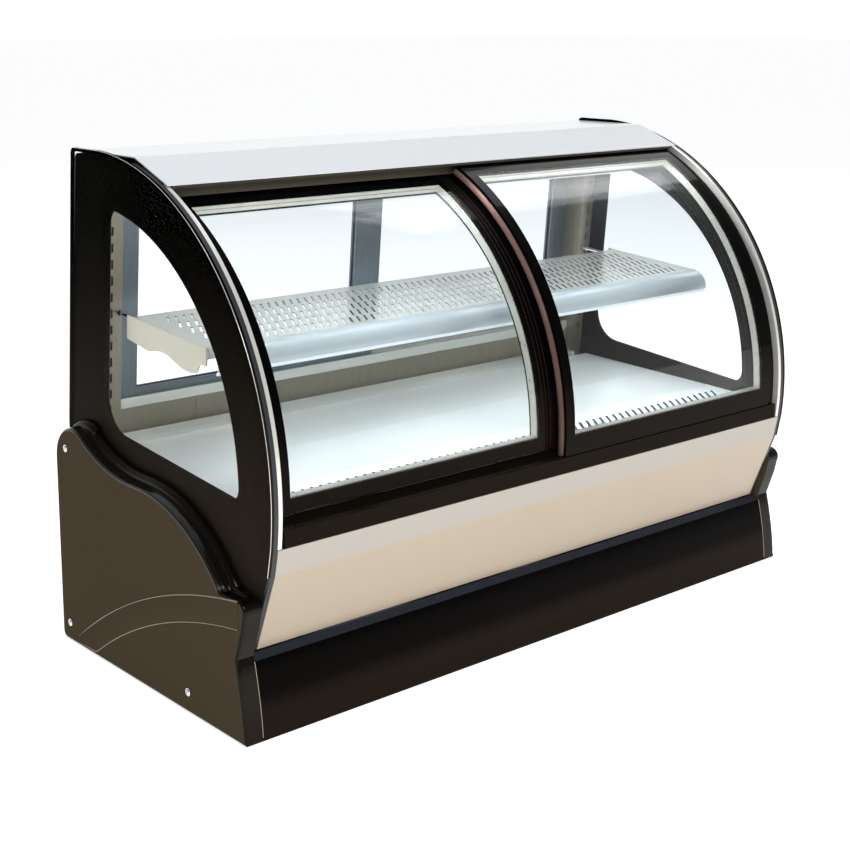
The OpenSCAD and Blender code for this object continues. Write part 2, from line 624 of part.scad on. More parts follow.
comp_at = [310, 20];
comp_r = 64;
module compressor() color("#1b1c1e") placed() translate([comp_at[0], comp_at[1], floor_z]) {
    translate([0, 0, 16]) cylinder(r = comp_r, h = 80, $fn = round_fn);
    translate([0, 0, 96]) intersection() {
        sphere(r = comp_r, $fn = round_fn);
        translate([-comp_r, -comp_r, 0]) cube([2 * comp_r, 2 * comp_r, 44]);
    }
    difference() {
        box([-80, -60, 6], [80, 60, 9]);
        for (x = [-68, 68], y = [-48, 48]) translate([x, y, 0]) cylinder(r = 5, h = 20, $fn = 32);
    }
    for (x = [-68, 68], y = [-48, 48]) translate([x, y, 0]) {
        cylinder(r = 9, h = 6, $fn = 48);
        cylinder(r = 4.9, h = 12, $fn = 48);
    }
    translate([-14, -comp_r - 18, 40]) cube([28, 24, 40]);
    box([-20, -40, 9], [20, 40, 16]);
}

cond_x = [20, 190];
cond_y = [60, 104];
fan_at = [105, 122, 82];
fin_pitch = 8;
module condenser() color("#7d8488") placed() {
    for (i = [0 : floor((cond_x[1] - cond_x[0]) / fin_pitch)])
        box([cond_x[0] + i * fin_pitch, cond_y[0], 8], [cond_x[0] + i * fin_pitch + 0.6, cond_y[1], 149]);
    for (z = [24 : 28 : 136], y = [72, 92])
        translate([cond_x[0] - 6, y, z]) rotate([0, 90, 0])
            cylinder(r = 4, h = cond_x[1] - cond_x[0] + 12, $fn = 32);
    for (x = [cond_x[0] - 6, cond_x[1] + 2.6])
        box([x, cond_y[0], floor_z], [x + 1.5, cond_y[1], 156]);
    box([cond_x[0] - 5, cond_y[0] + 1, 148], [cond_x[1] + 3, cond_y[1] - 1, 152]);
    // motor on a bar behind the coil
    translate([fan_at[0], cond_y[1] + 1, fan_at[2]]) rotate([-90, 0, 0])
        cylinder(r = 18, h = fan_at[1] - cond_y[1] - 5, $fn = 64);
    for (z = [fan_at[2] - 15, fan_at[2] + 9])
        box([cond_x[0] - 5, cond_y[1] - 1, z], [cond_x[1] + 3, cond_y[1] + 3, z + 6]);
}

// a bladed wheel about +Z
module fan_wheel(r, hub_r, h, n) {
    cylinder(r = hub_r, h = h, $fn = 64);
    for (i = [0 : n - 1])
        rotate([0, 0, i * 360 / n]) translate([hub_r - 2, 0, h / 2]) rotate([26, 0, 0])
            translate([0, -r * 0.28, -0.8]) cube([r - hub_r, r * 0.56, 1.6]);
}
module condenser_fan() color("#2e3133") placed()
    translate([fan_at[0], fan_at[1] - 3, fan_at[2]]) rotate([-90, 0, 0]) fan_wheel(58, 17, 16, 5);

evap_x = [-360, 120];
module evaporator() color("#b7bfc3") placed() {
    for (i = [0 : floor((evap_x[1] - evap_x[0]) / 12)])
        box([evap_x[0] + i * 12, 20, 192], [evap_x[0] + i * 12 + 0.8, 110, 242]);
    for (y = [35, 65, 95], z = [205, 229])
        translate([evap_x[0] - 8, y, z]) rotate([0, 90, 0])
            cylinder(r = 4, h = evap_x[1] - evap_x[0] + 16, $fn = 32);
    for (x = [evap_x[0] - 8, evap_x[1] + 7])
        box([x, 20, 185], [x + 1.2, 110, 244]);
    translate([evap_fan_at[0], evap_fan_at[1], 185]) cylinder(r = 20, h = 18, $fn = 64);
}
evap_fan_at = [240, 60, 204];
module evaporator_fan() color("#33373a") placed() translate(evap_fan_at) fan_wheel(48, 15, 14, 5);

// ---------------------------------------------------------------- controls

ctrl = [-330, -250, 152, 188];         // x and z limits of the controller face
face_y = pan_y[1] + 1.9;
button_at = [-262, 170];
button_size = [10, 3.2, 10];
module controller() color("#1a1c1e") placed() difference() {
    union() {
        box([ctrl[0], face_y - 40, ctrl[2]], [ctrl[1], face_y, ctrl[3]]);
        box([ctrl[0] - 4, face_y, ctrl[2] - 4], [ctrl[1] + 4, face_y + 4, ctrl[3] + 4]);
    }
    box([ctrl[0] + 6, face_y + 3, ctrl[2] + 6], [ctrl[1] - 24, face_y + 5, ctrl[3] - 6]);
    box([button_at[0] - 6, face_y - 4, button_at[1] - 6], [button_at[0] + 6, face_y + 5, button_at[1] + 6]);
    translate([button_at[0], face_y - 14, button_at[1]]) rotate([-90, 0, 0])
        cylinder(r = stem_r + 0.05, h = 12, $fn = 48);
}
stem_r = 2;
module set_button() color("#c8ccd0") placed() {
    box([button_at[0] - 5, face_y + 1.5, button_at[1] - 5], [button_at[0] + 5, face_y + 5, button_at[1] + 5]);
    translate([button_at[0], face_y - 10, button_at[1]]) rotate([-90, 0, 0])
        cylinder(r = stem_r, h = 12, $fn = 48);
}

// rocker that switches the lamps, pinned in a housing in the back cover
switch_at = [-197, 170];
pivot_r = 1.5;
module switch_housing() color("#141516") placed() translate([switch_at[0], face_y, switch_at[1]])
    difference() {
        union() {
            box([-15, -24, -14], [15, 0, 14]);
            box([-19, 0, -18], [19, 2.5, 18]);
        }
        box([-11, -15, -12.6], [11, 3, 12.6]);
        translate([-12.4, 0, 0]) rotate([0, 90, 0]) cylinder(r = pivot_r + 0.05, h = 24.8, $fn = 48);
    }
module light_switch() color("#a51d1d") placed() translate([switch_at[0], face_y, switch_at[1]]) {
    rotate([4, 0, 0]) translate([-10, -9, -11]) cube([20, 13, 22]);
    translate([-12.2, 0, 0]) rotate([0, 90, 0]) cylinder(r = pivot_r, h = 24.4, $fn = 48);
}

module power_inlet() color("#101113") placed() difference() {
    union() {
        box([-405, face_y - 30, 49], [-359, face_y, 75]);
        box([-410, face_y, 44], [-354, face_y + 3, 80]);
    }
    box([-398, face_y - 20, 52], [-366, face_y + 4, 72]);
}

base_pan();
feet();
left_end_cap();
right_end_cap();
end_cap_screws();
base_fascia();
lower_front_panel();
base_sides();
back_cover();
insulated_floor();
rear_wall();
left_side_glass();
right_side_glass();
left_side_frame();
right_side_frame();
left_inner_pane();
right_inner_pane();
left_edge_trim();
right_edge_trim();
left_edge_bead();
right_edge_bead();
door_sill();
door_header();
roof_panel();
top_cover();
top_lamp_housing();
top_lamp_lens();
left_rear_post();
right_rear_post();
rear_bottom_rail();
rear_top_rail();
rear_left_door_frame();
rear_left_door_glass();
rear_right_door_frame();
rear_right_door_glass();
left_door_frame();
left_door_glass();
left_door_spacer();
left_door_glides();
right_door_frame();
right_door_glass();
right_door_spacer();
right_door_glides();
deck_plate();
rear_grille();
shelf_plate();
shelf_brackets();
shelf_pegs();
shelf_fascia();
shelf_lamp_lens();
compressor();
condenser();
condenser_fan();
evaporator();
evaporator_fan();
controller();
set_button();
switch_housing();
light_switch();
power_inlet();
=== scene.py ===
import json
import math
import bpy
import bmesh
from mathutils import Matrix, Vector


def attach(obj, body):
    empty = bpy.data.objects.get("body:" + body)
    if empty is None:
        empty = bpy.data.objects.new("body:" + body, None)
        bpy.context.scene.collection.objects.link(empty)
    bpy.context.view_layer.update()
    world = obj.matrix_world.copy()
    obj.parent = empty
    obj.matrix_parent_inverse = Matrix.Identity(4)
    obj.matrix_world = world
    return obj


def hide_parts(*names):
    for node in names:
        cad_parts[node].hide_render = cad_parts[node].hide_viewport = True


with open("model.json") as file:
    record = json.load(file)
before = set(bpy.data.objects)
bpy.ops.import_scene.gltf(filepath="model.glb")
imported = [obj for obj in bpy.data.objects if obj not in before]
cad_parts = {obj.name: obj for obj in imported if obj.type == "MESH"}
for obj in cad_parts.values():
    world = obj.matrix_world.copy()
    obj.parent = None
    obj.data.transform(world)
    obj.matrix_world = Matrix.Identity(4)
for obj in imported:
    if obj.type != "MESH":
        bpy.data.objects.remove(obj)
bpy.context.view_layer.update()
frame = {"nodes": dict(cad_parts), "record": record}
NODES = frame["nodes"]

# ---------------------------------------------------------------- camera

CAMERA_AT = (-1.432, -1.610, 0.829)
CAMERA_RIGHT = (0.7573, -0.6531, 0.0)
CAMERA_BACK = (-0.6427, -0.7452, 0.1781)
LENS = 65.52             # mm, on a sensor 36 mm wide
SHIFT_Y = -0.147


def make_camera():
    """Stands to the left of the case, a little above it, and looks down along its front."""
    data = bpy.data.cameras.new("view")
    data.sensor_width = 36.0
    data.lens = LENS
    data.shift_y = SHIFT_Y
    data.clip_start = 0.05
    camera = bpy.data.objects.new("view", data)
    bpy.context.scene.collection.objects.link(camera)
    right = Vector(CAMERA_RIGHT).normalized()
    back = Vector(CAMERA_BACK).normalized()
    up = back.cross(right)
    turn = Matrix((right, up, back)).transposed().to_4x4()
    camera.matrix_world = Matrix.Translation(CAMERA_AT) @ turn
    bpy.context.scene.camera = camera


make_camera()

# ---------------------------------------------------------------- materials

COLOUR_A, COLOUR_B, COLOUR_OUT = 6, 7, 2     # the colour sockets of a Mix node
STANDARD_DETAIL = 5.0


def principled(name, **values):
    """A new material and its shader, with the given inputs set."""
    mat = bpy.data.materials.new(name)
    mat.use_nodes = True
    shader = mat.node_tree.nodes["Principled BSDF"]
    for key, value in values.items():
        shader.inputs[key.replace("_", " ")].default_value = value
    return mat, shader


def node(mat, kind, **settings):
    """A node of the given kind, with its own settings and its inputs' values."""
    made = mat.node_tree.nodes.new(kind)
    for key, value in settings.items():
        if hasattr(made, key):
            setattr(made, key, value)
        else:
            made.inputs[key.replace("_", " ")].default_value = value
    return made


def link(mat, a, out, b, into):
    """Joins output out of node a to input into of node b."""
    mat.node_tree.links.new(a.outputs[out], b.inputs[into])


def srgb(r, g, b):
    """Linear colour of an 8-bit screen colour."""
    def lin(c):
        c /= 255
        return c / 12.92 if c < 0.04045 else ((c + 0.055) / 1.055) ** 2.4
    return lin(r), lin(g), lin(b), 1.0


def recolour(mat, make_mix):
    """Puts a mix between a material's colour and its shader."""
    links = mat.node_tree.links
    into = mat.node_tree.nodes["Principled BSDF"].inputs["Base Color"]
    colour = into.links[0].from_socket
    mix = make_mix()
    links.new(colour, mix.inputs[COLOUR_A])
    links.new(mix.outputs[COLOUR_OUT], into)
    return mat


def mottled(name, low, high, rough, scale=6.0, stretch=(1, 1, 1), bump=0.0, bump_scale=300.0,
            rough_spread=0.06, **values):
    """Noise between two 8-bit colours, with its own roughness and, if wanted, a fine bump."""
    mat, shader = principled(name, **values)
    coord = node(mat, "ShaderNodeTexCoord")
    place = node(mat, "ShaderNodeMapping", Scale=stretch)
    link(mat, coord, "Object", place, "Vector")
    noise = node(mat, "ShaderNodeTexNoise", Scale=scale, Detail=STANDARD_DETAIL)
    link(mat, place, "Vector", noise, "Vector")
    colour = node(mat, "ShaderNodeMix", data_type="RGBA")
    colour.inputs[COLOUR_A].default_value = srgb(*low)
    colour.inputs[COLOUR_B].default_value = srgb(*high)
    link(mat, noise, "Fac", colour, 0)
    link(mat, colour, COLOUR_OUT, shader, "Base Color")
    spread = node(mat, "ShaderNodeMapRange")
    spread.inputs["To Min"].default_value = max(rough - rough_spread, 0.0)
    spread.inputs["To Max"].default_value = rough + rough_spread
    link(mat, noise, "Fac", spread, "Value")
    link(mat, spread, "Result", shader, "Roughness")
    if bump:
        fine = node(mat, "ShaderNodeTexNoise", Scale=bump_scale, Detail=3.0)
        link(mat, place, "Vector", fine, "Vector")
        relief = node(mat, "ShaderNodeBump", Strength=bump, Distance=0.0004)
        link(mat, fine, "Fac", relief, "Height")
        link(mat, relief, "Normal", shader, "Normal")
    return mat


def painted_shading_up(mat, z0, z1, top):
    """Painted shading: fades a material's colour towards top between two heights."""
    def make_mix():
        coord = node(mat, "ShaderNodeTexCoord")
        split = node(mat, "ShaderNodeSeparateXYZ")
        link(mat, coord, "Object", split, "Vector")
        fade = node(mat, "ShaderNodeMapRange", interpolation_type="SMOOTHSTEP")
        fade.inputs["From Min"].default_value = z0
        fade.inputs["From Max"].default_value = z1
        link(mat, split, "Z", fade, "Value")
        mix = node(mat, "ShaderNodeMix", data_type="RGBA")
        mix.inputs[COLOUR_B].default_value = srgb(*top)
        link(mat, fade, "Result", mix, 0)
        return mix
    return recolour(mat, make_mix)


HOLES_PER_METRE = 330.0
HOLE_SIZE = 0.3          # radius of a hole, as a part of the pitch
HOLE_COLOUR = (0.12, 0.115, 0.1, 1)


def perforated(mat):
    """Adds rows of tiny dark holes to a material."""
    def make_mix():
        coord = node(mat, "ShaderNodeTexCoord")
        cells = node(mat, "ShaderNodeTexVoronoi", Scale=HOLES_PER_METRE, Randomness=0.15)
        link(mat, coord, "Object", cells, "Vector")
        inside = node(mat, "ShaderNodeMath", operation="LESS_THAN")
        inside.inputs[1].default_value = HOLE_SIZE
        link(mat, cells, "Distance", inside, 0)
        mix = node(mat, "ShaderNodeMix", data_type="RGBA")
        mix.inputs[COLOUR_B].default_value = HOLE_COLOUR
        link(mat, inside, "Value", mix, 0)
        return mix
    return recolour(mat, make_mix)


GRAZING_GLOSS = 0.8      # what a pane reflects seen from its edge
SMUDGE_NOISE = (0.45, 0.8)


def glass(name, tint, base=0.018, smudge=0.004, steep=5.0):
    """Clear pane: mostly see-through, reflecting more at a grazing angle, with faint smudges."""
    mat, shader = principled(name)
    out = mat.node_tree.nodes["Material Output"]
    clear = node(mat, "ShaderNodeBsdfTransparent")
    clear.inputs["Color"].default_value = tint
    gloss = node(mat, "ShaderNodeBsdfGlossy", Roughness=0.01)
    facing = node(mat, "ShaderNodeLayerWeight", Blend=0.5)
    power = node(mat, "ShaderNodeMath", operation="POWER")
    power.inputs[1].default_value = steep
    link(mat, facing, "Facing", power, 0)
    edge = node(mat, "ShaderNodeMath", operation="MULTIPLY_ADD")
    edge.inputs[1].default_value = GRAZING_GLOSS
    edge.inputs[2].default_value = base
    link(mat, power, "Value", edge, 0)
    coord = node(mat, "ShaderNodeTexCoord")
    noise = node(mat, "ShaderNodeTexNoise", Scale=7.0, Detail=6.0)
    link(mat, coord, "Object", noise, "Vector")
    haze = node(mat, "ShaderNodeMapRange")
    haze.inputs["From Min"].default_value = SMUDGE_NOISE[0]
    haze.inputs["From Max"].default_value = SMUDGE_NOISE[1]
    haze.inputs["To Max"].default_value = smudge
    link(mat, noise, "Fac", haze, "Value")
    both = node(mat, "ShaderNodeMath", operation="ADD")
    link(mat, edge, "Value", both, 0)
    link(mat, haze, "Result", both, 1)
    mix = node(mat, "ShaderNodeMixShader")
    link(mat, both, "Value", mix, "Fac")
    link(mat, clear, "BSDF", mix, 1)
    link(mat, gloss, "BSDF", mix, 2)
    link(mat, mix, "Shader", out, "Surface")
    mat.node_tree.nodes.remove(shader)
    return mat


GRAIN = 220.0            # scale of the grinding lines
GRAIN_STRETCH = 0.012


def brushed(name, low, high, rough, along, metallic):
    """Metal with fine grinding lines along one axis (0, 1 or 2)."""
    stretch = [1.0, 1.0, 1.0]
    stretch[along] = GRAIN_STRETCH
    return mottled(name, low, high, rough, GRAIN, stretch, 0.02, GRAIN * 3, 0.05, Metallic=metallic)


BROWN = (0.85, 0.7, 0.55, 1)
M = {
    "dark_brown_gloss": mottled("cap_brown", (72, 63, 50), (77, 67, 53), 0.3, 3.0, bump=0.02,
                                Specular_IOR_Level=0.0),
    # painted reflection: the fascia is brown near the floor and fades to near-black between 28 and
    # 56 mm up
    "black_gloss": painted_shading_up(
        mottled("fascia_black", (22, 16, 12), (36, 28, 21), 0.08, 5.0, (0.4, 9, 9),
                Specular_IOR_Level=0.04, Specular_Tint=BROWN),
        0.028, 0.056, (2, 2, 3)),
    "champagne": mottled("champagne", (180, 164, 143), (185, 169, 148), 0.3, 3.0,
                         rough_spread=0.01),
    "galvanised": mottled("galvanised", (150, 154, 158), (190, 193, 196), 0.45, 40.0, Metallic=0.9),
    "back_steel": mottled("back_powder", (52, 54, 56), (60, 62, 64), 0.55, 20.0, bump=0.25,
                          bump_scale=1500.0),
    "foam_liner": mottled("foam_liner", (212, 214, 212), (222, 224, 222), 0.6, 10.0, bump=0.1),
    "stainless": brushed("stainless", (218, 217, 209), (232, 231, 225), 0.22, 0, 0.45),
    "stainless_dark": brushed("stainless_dark", (132, 124, 108), (156, 147, 130), 0.3, 2, 0.5),
    "glass_clear": glass("glass_clear", (0.985, 0.992, 0.995, 1), 0.0, 0.0, 9.0),
    "glass_double": glass("glass_double", (0.975, 0.988, 0.994, 1)),
    # painted shading: the side glass print is brown low down and fades to near-black between 0.15
    # and 0.6 m up
    "print_black": painted_shading_up(
        mottled("print_black", (44, 37, 31), (50, 43, 36), 0.05, 2.0, rough_spread=0.0,
                Specular_IOR_Level=0.0),
        0.15, 0.6, (3, 3, 2)),
    "anodised": mottled("anodised", (46, 49, 54), (58, 61, 66), 0.35, 8.0, (20, 1, 1),
                        Metallic=0.4),
    "bright_trim": mottled("bright_trim", (226, 223, 216), (240, 238, 232), 0.2, 8.0, Metallic=0.5),
    "sill_bronze": mottled("sill_bronze", (20, 16, 11), (31, 25, 18), 0.2, 6.0, (0.3, 20, 20),
                           Specular_IOR_Level=0.03, Specular_Tint=BROWN),
    "cover_white": mottled("cover_white", (224, 227, 231), (230, 233, 236), 0.16, 3.0),
    "alu_satin": brushed("alu_satin", (198, 204, 206), (214, 219, 221), 0.32, 0, 0.4),
    "lamp_white": mottled("lamp_white", (228, 232, 236), (238, 241, 244), 0.4, 30.0,
                          Emission_Color=(0.9, 0.97, 1.0, 1), Emission_Strength=0.25),
    # painted shading: the door frames fade from brown to near-black between 0.24 and 0.42 m up
    "door_frame": painted_shading_up(
        mottled("door_black", (10, 8, 6), (28, 21, 17), 0.07, 5.0, (0.4, 4, 4),
                Specular_IOR_Level=0.05, Specular_Tint=BROWN),
        0.24, 0.42, (4, 4, 5)),
    "door_spacer": perforated(mottled("spacer_alu", (206, 203, 190), (232, 230, 220), 0.3, 60.0,
                                      Metallic=0.5)),
    "nylon": mottled("nylon", (225, 225, 218), (236, 236, 230), 0.5, 20.0),
    "cream_steel": mottled("cream_steel", (214, 206, 186), (228, 221, 203), 0.35, 6.0,
                           Metallic=0.3),
    "chrome": mottled("chrome", (220, 221, 223), (236, 237, 239), 0.08, 20.0, rough_spread=0.03,
                      Metallic=1.0),
    "rubber": mottled("rubber", (18, 18, 18), (28, 28, 28), 0.8, 30.0, bump=0.3),
    "compressor_black": mottled("compressor_black", (22, 23, 25), (32, 33, 35), 0.4, 12.0,
                                bump=0.2),
    "coil": mottled("coil", (160, 168, 174), (190, 198, 202), 0.4, 30.0, Metallic=0.8),
    "fan_plastic": mottled("fan_plastic", (40, 42, 45), (50, 52, 55), 0.5, 20.0, bump=0.1),
    "controller_black": mottled("controller_black", (28, 29, 31), (36, 37, 39), 0.4, 30.0,
                                bump=0.15),
    "button_grey": mottled("button_grey", (185, 190, 196), (200, 204, 210), 0.45, 30.0),
    "rocker_red": mottled("rocker_red", (160, 26, 26), (178, 34, 34), 0.2, 20.0),
    "inlet_black": mottled("inlet_black", (18, 18, 19), (26, 26, 27), 0.5, 30.0, bump=0.15),
}
# finishes of single faces, nodes or added pieces, and the painted light, shade, highlights and
# reflections on some of them
REAR_STEEL = brushed("rear_steel", (92, 101, 107), (122, 132, 138), 0.3, 2, 0.6)
LEDGE = mottled("cap_ledge", (7, 6, 5), (15, 12, 10), 0.06, 3.0, Specular_IOR_Level=0.2,
                Specular_Tint=BROWN)
# painted light: the front-facing upper band of the lower front panel, paler and greyer than its
# other faces
UPPER_BAND_PAINTED_LIGHT = mottled("champagne_painted_light", (177, 169, 159), (182, 174, 164), 0.3, 3.0,
                     rough_spread=0.01)
# painted reflection: a blue-grey band on the fascia's upward faces, standing in for the sky seen in
# its top chamfer
FASCIA_TOP_PAINTED_REFLECTION = mottled("fascia_top", (34, 38, 46), (42, 46, 54), 0.15, 4.0, Specular_IOR_Level=0.1)
# painted reflection: brown-pink sheen on the grip bead of the right door's inner stile
GRIP_PAINTED_REFLECTION = mottled("grip_painted_reflection", (78, 59, 54), (104, 80, 74), 0.15, 6.0, (0.4, 4, 4),
               Specular_IOR_Level=0.15)
# painted reflection: lighter brown lines in the three grooves of the left door's inner stile
GROOVE_PAINTED_REFLECTION = mottled("groove_painted_reflection", (44, 34, 30), (58, 45, 40), 0.2, 6.0, (0.4, 4, 4),
                 Specular_IOR_Level=0.05)
HEADER_LIP = mottled("header_lip", (56, 52, 43), (66, 61, 51), 0.3, 6.0, Specular_IOR_Level=0.1)
# painted shade: dark walls inside the slanted slots of the shelf and the deck
SLOT_PAINTED_SHADE = mottled("slot_wall", (44, 46, 46), (58, 60, 60), 0.6, 40.0)
CAP_EDGE = mottled("cap_edge", (14, 11, 9), (20, 16, 13), 0.1, 3.0, Specular_IOR_Level=0.8)
# painted highlight: tan lines along the edges of each cap's raised sweep
SWEEP_PAINTED_HIGHLIGHT = mottled("cap_sweep_painted_highlight", (134, 115, 92), (152, 132, 107), 0.2, 6.0)

ONE_FINISH = {
    "deck_plate": brushed("deck_steel", (234, 238, 236), (244, 247, 245), 0.32, 0, 0.12),
    "rear_left_door_frame": REAR_STEEL,
    "rear_right_door_frame": REAR_STEEL,
}

BEAD_X = 0.0043          # the grip bead ends here, from the right door's inner edge
GROOVE_X = 0.0464        # grooves, from the left door's inner edge: first, pitch, half a width
GROOVE_PITCH = 0.007
GROOVE_HALF = 0.0008


def in_groove(x):
    """Whether a face at x from the left door's inner edge lies in one of its three grooves."""
    return any(abs(x - GROOVE_X + GROOVE_PITCH * k) < GROOVE_HALF for k in (1, 2, 3))


def slot_wall(normal, left, right):
    """Whether a face of a level, slotted plate is a wall of a slanted slot."""
    return min(abs(normal.x), abs(normal.y)) > 0.2


# node, finish or painted light, and which faces have it, from their normal and their distances from
# both ends
FACE_FINISH_AND_PAINTED_LIGHT = (
    # painted light on the panel's front-facing band
    ("lower_front_panel", UPPER_BAND_PAINTED_LIGHT,
     lambda normal, left, right: normal.y < -0.9 and normal.z > -0.3),
    # painted reflection on the fascia's upward faces
    ("base_fascia", FASCIA_TOP_PAINTED_REFLECTION, lambda normal, left, right: normal.z > 0.4),
    ("door_header", HEADER_LIP, lambda normal, left, right: normal.y < -0.9),
    # painted shade in the slots
    ("shelf_plate", SLOT_PAINTED_SHADE, slot_wall),
    ("deck_plate", SLOT_PAINTED_SHADE, slot_wall),
    # painted reflection on the right door's grip bead
    ("right_door_frame", GRIP_PAINTED_REFLECTION, lambda normal, left, right: left < BEAD_X),
    # painted reflection in the left door's grooves
    ("left_door_frame", GROOVE_PAINTED_REFLECTION, lambda normal, left, right: in_groove(right)),
)
REAL_EDGE = 28           # degrees


def dress():
    """Gives every CAD node its materials, the painted light and shade of some of its faces, and
    smooth shading that keeps the real edges.
    """
    for part in frame["record"]["subparts"]:
        mesh = NODES[part["node"]].data
        mesh.materials.clear()
        mesh.materials.append(ONE_FINISH.get(part["node"], M[part["material_slot"]]))
        for face in mesh.polygons:
            face.use_smooth = True
        mesh.set_sharp_from_angle(angle=math.radians(REAL_EDGE))
    for name, mat, test in FACE_FINISH_AND_PAINTED_LIGHT:
        mesh = NODES[name].data
        mesh.materials.append(mat)
        xs = [v.co.x for v in mesh.vertices]
        x0, x1 = min(xs), max(xs)
        for face in mesh.polygons:
            x = face.center.x
            face.material_index = int(test(face.normal, x - x0, x1 - x))


dress()

# ---------------------------------------------------------------- end caps

SHIFT = 0.010            # the side profile is drawn about the middle of the end caps


def arc(centre, radius, a0, a1, count):
    """Points (y, z) along an arc, angles in degrees."""
    out = []
    for i in range(count + 1):
        a = math.radians(a0 + (a1 - a0) * i / count)
        out.append((centre[0] + radius * math.cos(a), centre[1] + radius * math.sin(a)))
    return out


FOOT_TOP = 0.101         # the cap's front edge leans back up to here
FOOT_Y = -0.220
FOOT_LEAN = 0.0165
FOOT_STEPS = 24


def cap_front(z):
    """Front edge of a cap's foot at height z."""
    return FOOT_Y + FOOT_LEAN * (z / FOOT_TOP) ** 1.6


def cap_outline(o):
    """Outline of an end cap, its wavy top moved outwards by o."""
    pts = arc((0.210, 0.010), 0.010, -90, 0, 8)
    pts += arc((0.1745 - o, 0.255), 0.0455 + o, 0, 120, 40)
    pts += arc((0.030, 0.4895), 0.230 - o, -60, -90, 20)
    pts += arc((0.005, 0.0335), 0.226 + o, 90, 141.5, 50)
    pts += arc((-0.209, 0.1625), 0.0133, 70, 205, 24)
    pts += [(-0.2165, 0.138), (-0.2095, 0.118), (cap_front(FOOT_TOP), FOOT_TOP)]
    heights = [FOOT_TOP * i / FOOT_STEPS for i in range(FOOT_STEPS - 1, -1, -1)]
    return pts + [(cap_front(z), z) for z in heights]


def inset(pts, d):
    """Moves each point of a closed outline inwards by d."""
    out = []
    for i, p in enumerate(pts):
        a, b = pts[i - 1], pts[(i + 1) % len(pts)]
        t = Vector((b[0] - a[0], b[1] - a[1])).normalized()
        out.append((p[0] - d * t.y, p[1] + d * t.x))
    return out


def skin(name, sections, mats, body, side):
    """Closed skin through outlines; sections are (x, points). The end faces take the first
    material, the upper part of the rounded outer edge the third and the rest the second."""
    bm = bmesh.new()
    loops = []
    for x, pts in sections:
        loops.append([bm.verts.new((side * x, y + SHIFT, z)) for y, z in pts])
    count = len(loops[0])
    for k, (a, b) in enumerate(zip(loops, loops[1:])):
        for i in range(count):
            j = (i + 1) % count
            upper = k >= len(loops) - EDGE_ROWS and a[i].co.z > EDGE_Z
            bm.faces.new((a[i], a[j], b[j], b[i])).material_index = 2 if upper else 1
    ends = [bm.faces.new(loops[0]), bm.faces.new(loops[-1])]
    bmesh.ops.recalc_face_normals(bm, faces=bm.faces)
    bmesh.ops.triangulate(bm, faces=ends)
    return finish_mesh(name, bm, mats, body)


def finish_mesh(name, bm, mats, body, angle=30):
    """Object from a bmesh: smooth where it curves, flat on its flat end faces."""
    mesh = bpy.data.meshes.new(name)
    bm.to_mesh(mesh)
    bm.free()
    for face in mesh.polygons:
        face.use_smooth = abs(face.normal.x) < 0.9999
    mesh.set_sharp_from_angle(angle=math.radians(angle))
    for mat in mats:
        mesh.materials.append(mat)
    obj = bpy.data.objects.new(name, mesh)
    bpy.context.scene.collection.objects.link(obj)
    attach(obj, body)
    return obj


CAP_IN, CAP_OUT = 0.474, 0.4986
EDGE_R = 0.0032
EDGE_ROWS = 10           # rows of faces from the ledge to the end of the rounded outer edge
EDGE_Z = 0.178           # the polish starts above the nose
LEDGE_OUT = 0.010        # the ledge's climb against the glass
LEDGE_LOW = 0.0022
LEDGE_X = 0.0025
LEDGE_DEEP = 0.0075


def end_cap(side, word):
    """Moulded cap: rounded outer edge, ledge that climbs towards the side glass."""
    base = cap_outline(0)
    sections = [(CAP_IN, cap_outline(LEDGE_OUT))]
    for i in range(7):
        a = math.radians(90 * i / 6)
        sections.append((CAP_IN + LEDGE_X + LEDGE_DEEP * math.sin(a),
                         cap_outline(LEDGE_LOW + (LEDGE_OUT - LEDGE_LOW) * math.cos(a))))
    sections += [(CAP_IN + 0.0115, cap_outline(0.0016)),
                 (CAP_OUT - EDGE_R - 0.006, cap_outline(0.0008)),
                 (CAP_OUT - EDGE_R, base)]
    for i in range(1, 9):
        a = math.radians(90 * i / 8)
        sections.append((CAP_OUT - EDGE_R * (1 - math.sin(a)),
                         inset(base, EDGE_R * (1 - math.cos(a)))))
    mats = [M["dark_brown_gloss"], LEDGE, CAP_EDGE]
    piece = skin(word + "_cap_shell", sections, mats, "case", side)
    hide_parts(word + "_end_cap")


SWEEP_OUTER = (-0.319, -0.622, 0.805)    # the two arcs of the raised sweep: y, z, radius
SWEEP_INNER = (-0.309, -0.597, 0.743)
SWEEP_Y = (0.176, -0.2095)               # its ends
SWEEP_STEPS = 60
SWEEP_RISE = 0.0013
# across the sweep: how far down from its upper arc, and how much of the rise
SWEEP_SECTION = ((0.0, -0.3), (0.014, 0.7), (0.038, 1.0), (0.5, 0.95), (0.955, 0.9), (0.98, 0.5),
                 (1.0, -0.3))
SWEEP_HIGHLIGHT_ROWS = (0, 1, 4)                  # the rows of its section that carry the painted highlight


def on_circle(circle, y):
    """Height of a circle's upper side at y."""
    return circle[1] + math.sqrt(circle[2] ** 2 - (y - circle[0]) ** 2)


